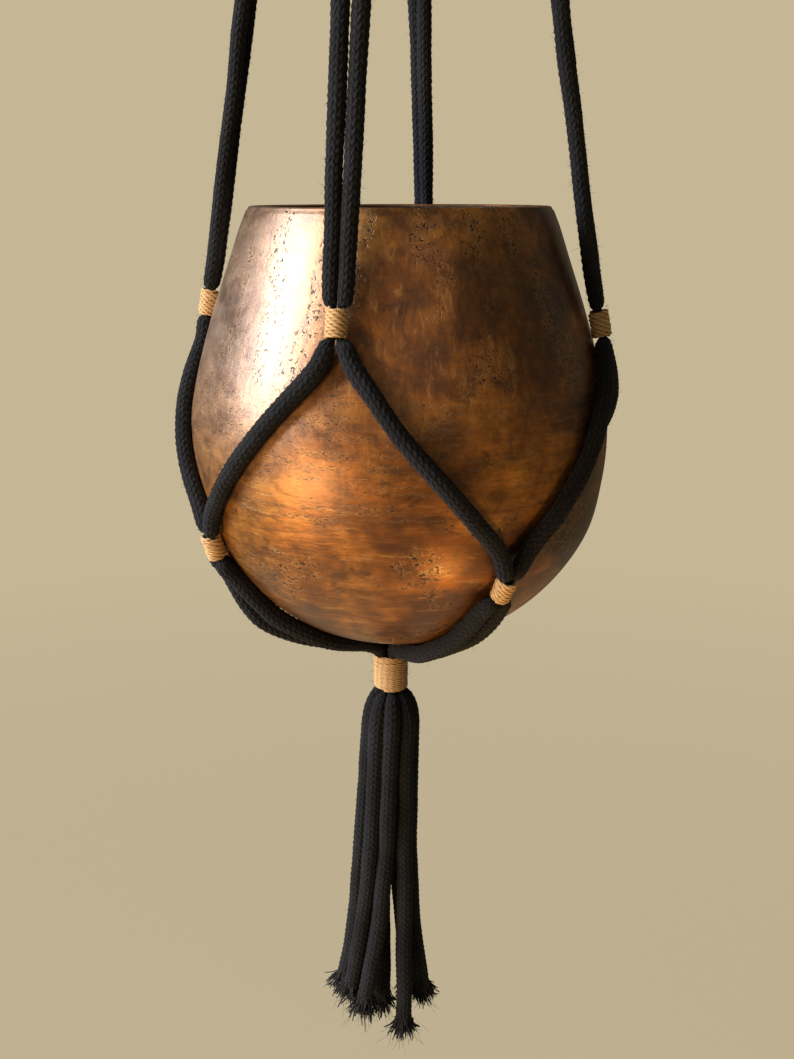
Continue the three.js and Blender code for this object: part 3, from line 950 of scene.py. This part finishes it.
def make_tassel():
    """Eight strands, each on its own body, with a frayed end and loose fibres."""
    for number in range(len(STRANDS)):
        body = f"strand_{number + 1}"
        whole = smooth_curve(strand_stations(number), 16)
        dense, at = respaced(whole, CORD_STEP)
        kept = dense[at <= at[-1] - FRAY_LENGTH * 0.85]
        piece, line = braided_cord(f"strand_{number + 1}_cord", kept, STRAND_SEED + number)
        ahead = unit(line[-1] - line[-END_POINTS])
        fray = frayed_end(f"strand_{number + 1}_fray", line[-1], ahead, FRAY_SEED + number)
        fuzz = fluff(f"strand_{number + 1}_fibres", line[COVERED_POINTS:], STRAND_FLUFF_SEED + number)
        for made in (piece, fray, fuzz):
            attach(made, body)
        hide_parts(f"tassel_strand_{number + 1}")


# ---- Twine whippings ----

TWINE_SIDES = 10
TWINE_STEP = 0.00036
PLY_TWIST = 0.0025


def whipping(name, node, size, place, seed):
    """Close turns of two-ply twine wound round the cords, its ends tucked in."""
    rng = np.random.default_rng(seed)
    centre, down, across = place
    other = np.cross(down, across)
    outer, height, turns = size["outer"] * MM, size["height"] * MM, size["turns"]
    thick = height / turns / 2 * 1.04
    mean = outer - thick
    run = np.linspace(0, turns, int(turns * 2 * math.pi * mean / TWINE_STEP))
    angle = 2 * math.pi * run + rng.uniform(0, ANY_PHASE)
    drop = -height / 2 + thick + (height - 2 * thick) * run / turns
    tuck = np.clip(np.minimum(run, turns - run) / 0.35, 0, 1)
    wander = wavy(run, rng, 0.7, 0.00006)
    reach = mean - (1 - tuck) * thick * 1.2 + wavy(run, rng, 0.5, 0.00005)
    out = np.cos(angle)[:, None] * across + np.sin(angle)[:, None] * other
    line = centre + down * (drop + wander)[:, None] + out * reach[:, None]
    step_across, step_other, _ = frames(line)
    along = run * 2 * math.pi * mean
    around = 2 * math.pi * np.arange(TWINE_SIDES) / TWINE_SIDES
    twist = 2 * math.pi * along[:, None] / PLY_TWIST / 2
    ply = np.abs(np.cos(around[None, :] - twist))
    radius = thick * (0.70 + 0.36 * ply) * (1 + wavy(along, rng, 0.002, 0.03))[:, None]
    circle = circle_across(step_across, step_other, around)
    vertices = (line[:, None] + circle * radius[..., None]).reshape(-1, 3)
    vertices, faces = capped(vertices, len(line), TWINE_SIDES)
    relief = np.zeros((len(vertices), 3))
    relief[:ply.size, 0] = ply.ravel()
    fibre = np.zeros((len(vertices), 3))
    fibre[:ply.size, 0] = ((around[None, :] - twist) / math.pi).ravel()
    fibre[:ply.size, 1] = np.repeat(along / 0.001, TWINE_SIDES)
    piece = new_mesh(name, vertices, faces, TWINE, {"relief": relief, "fibre": fibre})
    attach(piece, "sling")
    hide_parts(node)


def make_whippings():
    """The two large whippings, then the four upper and four lower ones."""
    straight_down, right = np.array([0, 0, -1.0]), np.array([1.0, 0, 0])
    gather = (np.array([0, 0, GATHER_Z]), straight_down, right)
    tassel = (np.array([TASSEL_X, 0, RIM_Z + TASSEL_WRAP_ABOVE * MM]), straight_down, right)
    whipping("gathering_twine", "gathering_wrap", GATHER, gather, GATHER_SEED)
    whipping("tassel_twine", "tassel_wrap", TASSEL_WRAP, tassel, TASSEL_WRAP_SEED)
    for i, (name, *_) in enumerate(PAIRS):
        whipping(f"upper_twine_{name}", f"upper_wrap_{name}", WHIPPING, UPPER_SEATS[i], UPPER_SEED + i)
    for i, (name, *_) in enumerate(LOWER):
        whipping(f"lower_twine_{name}", f"lower_wrap_{name}", WHIPPING, LOWER_SEATS[i], LOWER_SEED + i)


# ---- The pot ----

POT_SEGMENTS = 256
# The rim's rounded lip in mm: its height, and where it takes over from the wall outside and inside.
LIP_ROUND = 0.9
LIP_OUTSIDE = 1.2
LIP_INSIDE = 1.5
# About how far each wave puts the belly out of round, in mm, and the number of waves round it.
BELLY_UNEVEN = 0.22
BELLY_WAVES = (2, 3, 5, 7)


def shell_profile():
    """The shell's half section in mm, from the outer base round the rim to the inner floor.

    Returns it and the number of the point where the inside starts.
    """
    outside = smooth_curve([(r, 0, h) for r, h in POT_PROFILE], 12)[:, [0, 2]]
    along = np.gradient(outside, axis=0)
    normals = unit(np.column_stack([along[:, 1], -along[:, 0]]))
    inside = outside + normals * POT_WALL
    inside = inside[(inside[:, 1] > POT_FLOOR[1] + POT_WALL) & (inside[:, 1] < -LIP_INSIDE)]
    lip = []
    for degrees in range(0, 181, 20):
        a = math.radians(degrees)
        lip.append((POT_PROFILE[0][0] - POT_WALL / 2 * (1 - math.cos(a)), LIP_ROUND * (math.sin(a) - 1)))
    floor = [(POT_FLOOR[0] * s, POT_FLOOR[1]) for s in (1.0, 0.8, 0.6, 0.4, 0.2)]
    outer = outside[::-1][1:]
    outer = outer[outer[:, 1] < -LIP_OUTSIDE]
    return np.vstack([outer, lip, inside, floor]), len(outer) + len(lip) - 2


def make_pot():
    """The shell, its belly slightly out of round. Its pits are in its material."""
    profile, inside_from = shell_profile()
    rng = np.random.default_rng(POT_SEED)
    rings, sides = len(profile), POT_SEGMENTS
    angle = 2 * math.pi * np.arange(sides) / sides
    radius = np.repeat(profile[:, :1], sides, 1)
    height = np.repeat(profile[:, 1:], sides, 1)
    belly = np.clip(-height / 30, 0, 1) * np.clip((height - POT_PROFILE[-1][1]) / 20, 0, 1)
    uneven = np.zeros_like(radius)
    for waves in BELLY_WAVES:
        depth = rng.normal(0, BELLY_UNEVEN)
        phase = rng.uniform(0, ANY_PHASE)
        uneven += depth * np.cos(waves * angle + phase + height * rng.normal(0, 0.02))
    radius = radius + uneven * belly
    x = radius * np.sin(angle) * MM
    y = -radius * np.cos(angle) * MM
    z = RIM_Z + height * MM
    wall = np.stack([x, y, z], -1).reshape(-1, 3)
    base_z, floor_z = RIM_Z + POT_PROFILE[-1][1] * MM, RIM_Z + POT_FLOOR[1] * MM
    vertices = np.vstack([wall, [[0, 0, base_z], [0, 0, floor_z]]])
    _, faces = capped(wall, rings, sides)
    piece = new_mesh("gourd_pot", vertices, faces, SHELL)
    piece.data.materials.append(RAW_SHELL)
    ring_of_face = faces.min(1) // sides
    inner = (ring_of_face >= inside_from) & (faces.max(1) != rings * sides)
    piece.data.polygons.foreach_set("material_index", inner.astype(np.int32))
    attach(piece, "pot")
    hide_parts("pot")


# ---- The ring ----

RING_SEGMENTS = 160
RING_SIDES = 40
RING_FLATTENING = 0.035


def make_ring():
    """A turned ring, its bar a little off round."""
    turns, sides = RING_SEGMENTS, RING_SIDES
    a = 2 * math.pi * np.arange(turns)[:, None] / turns
    b = 2 * math.pi * np.arange(sides)[None] / sides
    bar = RING_BAR_RADIUS * (1 - RING_FLATTENING * np.cos(2 * b)**2)
    reach = RING_RADIUS + bar * np.cos(b)
    x = reach * np.sin(a)
    z = reach * np.cos(a) + RING_BAR_RADIUS - RING_RADIUS
    y = np.broadcast_to(bar * np.sin(b), x.shape)
    vertices = np.stack([x, y, z], -1).reshape(-1, 3)
    i, k = np.meshgrid(np.arange(turns), np.arange(sides), indexing="ij")
    i2, k2 = (i + 1) % turns, (k + 1) % sides
    corners = [i * sides + k, i2 * sides + k, i2 * sides + k2, i * sides + k2]
    faces = np.stack(corners, -1).reshape(-1, 4)
    piece = new_mesh("turned_ring", vertices, faces[:, ::-1], BEECH)
    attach(piece, "ring")
    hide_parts("wooden_ring")


# ---- Stage and lights ----

WALL = (0.56, 0.47, 0.305)
FLOOR_Z = -1.6
FLOOR_REACH = 14.0
# The world's strength: what it lights by, and what is added where the camera sees it.
WORLD_LIGHT = 0.22
WORLD_SEEN = 0.78


def make_floor():
    """A plain pale floor that fades far off into the colour behind it."""
    n = Nodes("floor_paint")
    place = n.position()
    distance = n.add("ShaderNodeVectorMath", {0: place}, operation="LENGTH").outputs["Value"]
    paler = n.math("MINIMUM", n.math("MULTIPLY_ADD", distance, 0.12, 0.6), 1.0)
    seen = n.add("ShaderNodeLightPath").outputs["Is Camera Ray"]
    n.finish(Base_Color=(0.62, 0.53, 0.36, 1), Roughness=0.9)
    glow = n.add("ShaderNodeEmission", {"Color": (*WALL, 1), "Strength": 1.0})
    share = n.math("MULTIPLY", paler, seen)
    both = n.add("ShaderNodeMixShader", {0: share, 1: n.shader.outputs[0], 2: glow.outputs[0]})
    n.tree.links.new(both.outputs[0], n.tree.nodes["Material Output"].inputs["Surface"])
    far, z = FLOOR_REACH, FLOOR_Z
    corners = [(-far, -far, z), (far, -far, z), (far, far, z), (-far, far, z)]
    floor = new_mesh("floor", corners, [[0, 1, 2, 3]], n.material)


def make_world():
    """The wall colour behind, and a dimmer light of the same colour from all round."""
    world = bpy.data.worlds.new("world")
    world.use_nodes = True
    tree = world.node_tree
    background = tree.nodes["Background"]
    seen = tree.nodes.new("ShaderNodeLightPath").outputs["Is Camera Ray"]
    strength = tree.nodes.new("ShaderNodeMath")
    strength.operation = "MULTIPLY_ADD"
    tree.links.new(seen, strength.inputs[0])
    strength.inputs[1].default_value = WORLD_SEEN
    strength.inputs[2].default_value = WORLD_LIGHT
    tree.links.new(strength.outputs[0], background.inputs["Strength"])
    background.inputs["Color"].default_value = (*WALL, 1)
    bpy.context.scene.world = world
    bpy.context.scene.view_settings.view_transform = "Standard"


def put_light(data, place, target, power, colour):
    """Puts a light in the scene, turned to face its target."""
    data.energy = power
    data.color = colour
    light = bpy.data.objects.new(data.name, data)
    bpy.context.scene.collection.objects.link(light)
    light.location = place
    light.rotation_euler = (Vector(target) - Vector(place)).to_track_quat("-Z", "Y").to_euler()


def area_light(name, place, target, size, power, colour):
    data = bpy.data.lights.new(name, "AREA")
    data.shape = "RECTANGLE"
    data.size, data.size_y = size
    put_light(data, place, target, power, colour)


def spot_light(name, place, target, cone, power, colour):
    """A soft-edged beam, its full cone in degrees."""
    data = bpy.data.lights.new(name, "SPOT")
    data.spot_size = math.radians(cone)
    data.spot_blend = 1.0
    data.shadow_soft_size = 0.05
    put_light(data, place, target, power, colour)


def make_lights():
    """Cool daylight from the left, a warm lamp below it, a low beam on the belly, and the room."""
    middle = (0, 0, RIM_Z - 0.08)
    glow = (0.028, -0.052, RIM_Z - 0.128)
    area_light("window", (-1.25, -0.28, RIM_Z + 0.50), middle, (0.75, 0.95), 33, (0.88, 0.94, 1.0))
    area_light("lamp", (-0.85, -0.87, RIM_Z - 0.40), middle, (0.45, 0.35), 9, (1.0, 0.64, 0.28))
    spot_light("low_sun", (0.30, -0.55, RIM_Z - 0.85), glow, 4.2, 46, (1.0, 0.52, 0.12))
    area_light("room", (0.2, -1.8, RIM_Z + 1.0), middle, (1.4, 1.0), 1.4, (1.0, 0.90, 0.78))


make_sling_cords()
make_tassel()
make_whippings()
make_pot()
make_ring()
make_floor()
make_world()
make_lights()
